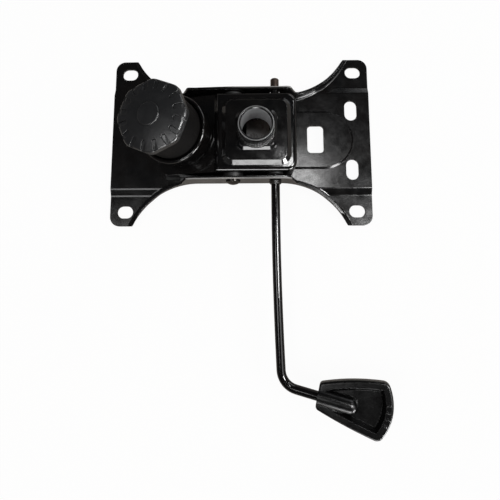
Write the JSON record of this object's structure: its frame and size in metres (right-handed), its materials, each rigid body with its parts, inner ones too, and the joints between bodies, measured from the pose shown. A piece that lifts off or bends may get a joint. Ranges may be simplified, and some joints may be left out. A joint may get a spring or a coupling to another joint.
{
  "type": "seat swivel plate",
  "caption": "Rocking swivel plate for an office chair: stamped seat plate with slotted ears, pan with gas spring socket on a pivot pin, tension knob over a spring cup, bent lever with grip.",
  "frame": {"origin": "centre of the four corner slots, in the plane of the seat plate's mounting face (z = 0)", "axes": "+Z away from the seat (down in use), +X to the chair's rear, +Y away from the lever's side"},
  "size_m": [0.2712, 0.367, 0.0932],
  "materials": {
    "black_paint": "gloss black stove enamel",
    "cup_paint": "gloss black stove enamel",
    "tube_paint": "satin black enamel",
    "rod_paint": "gloss black enamel",
    "arm_paint": "thin black enamel",
    "zinc_steel": "bright zinc plating",
    "spring_steel": "oiled spring steel",
    "collar_steel": "dark turned steel",
    "bush_plastic": "moulded nylon",
    "knob_plastic": "satin moulded plastic",
    "cap_plastic": "satin moulded plastic",
    "grip_plastic": "gloss moulded plastic",
    "pad_rubber": "matte rubber"
  },
  "bodies": {
    "seat": {"seat_plate": "black_paint", "pivot_pin": "zinc_steel", "pivot_washer": "zinc_steel", "pivot_clip": "spring_steel", "front_rest_pads": "pad_rubber", "rear_stop_pad": "pad_rubber"},
    "pan": {"lower_housing": "black_paint", "taper_tube": "tube_paint", "tube_weld": "tube_paint", "pivot_bushes": "bush_plastic", "rod_bushes": "bush_plastic", "spring_cup": "cup_paint", "main_spring": "spring_steel", "lever_spring": "spring_steel"},
    "bolt": {"tension_bolt": "zinc_steel"},
    "washer": {"thrust_washer": "zinc_steel"},
    "knob": {"tension_knob": "knob_plastic", "knob_cap": "cap_plastic", "knob_nut": "zinc_steel"},
    "arm": {"release_arm": "arm_paint"},
    "lever": {"lever_rod": "rod_paint", "lever_grip": "grip_plastic", "lock_collar": "collar_steel", "collar_pin": "spring_steel", "rod_clips": "spring_steel"}
  },
  "joints": [
    {"name": "tilt", "type": "hinge", "parent": "seat", "child": "pan", "pos_m": [-0.0065, 0, 0.0225], "axis": [0, 1, 0], "range_deg": [0, 12], "stiffness_Nm_per_rad": 50, "springref_deg": -20.05, "deforming": ["main_spring"]},
    {"name": "bolt_swing", "type": "hinge", "parent": "seat", "child": "bolt", "pos_m": [-0.05387, 0, 0.01025], "axis": [0, 1, 0], "range_deg": [0, 10.8]},
    {"name": "knob_travel", "type": "slide", "parent": "bolt", "child": "washer", "axis": [0.2504, 0, -0.9681], "range_m": [0, 0.006]},
    {"name": "knob_turn", "type": "hinge", "parent": "washer", "child": "knob", "pos_m": [-0.0635, 0, 0.0475], "axis": [0.2504, 0, -0.9681], "range_deg": [0, 1440]},
    {"name": "lever_lift", "type": "hinge", "parent": "pan", "child": "arm", "pos_m": [0.0354, 0, 0.025], "axis": [0, 1, 0], "range_deg": [0, 10], "stiffness_Nm_per_rad": 1.5, "springref_deg": -17.19, "deforming": ["lever_spring"]},
    {"name": "lever_push", "type": "slide", "parent": "arm", "child": "lever", "axis": [0, 1, 0], "range_m": [0, 0.0045]}
  ],
  "couplings": [
    {"joint": "bolt_swing", "follows": "tilt", "ratio": 0.9},
    {"joint": "knob_turn", "follows": "knob_travel", "rad_per_m": 4188.8}
  ]
}
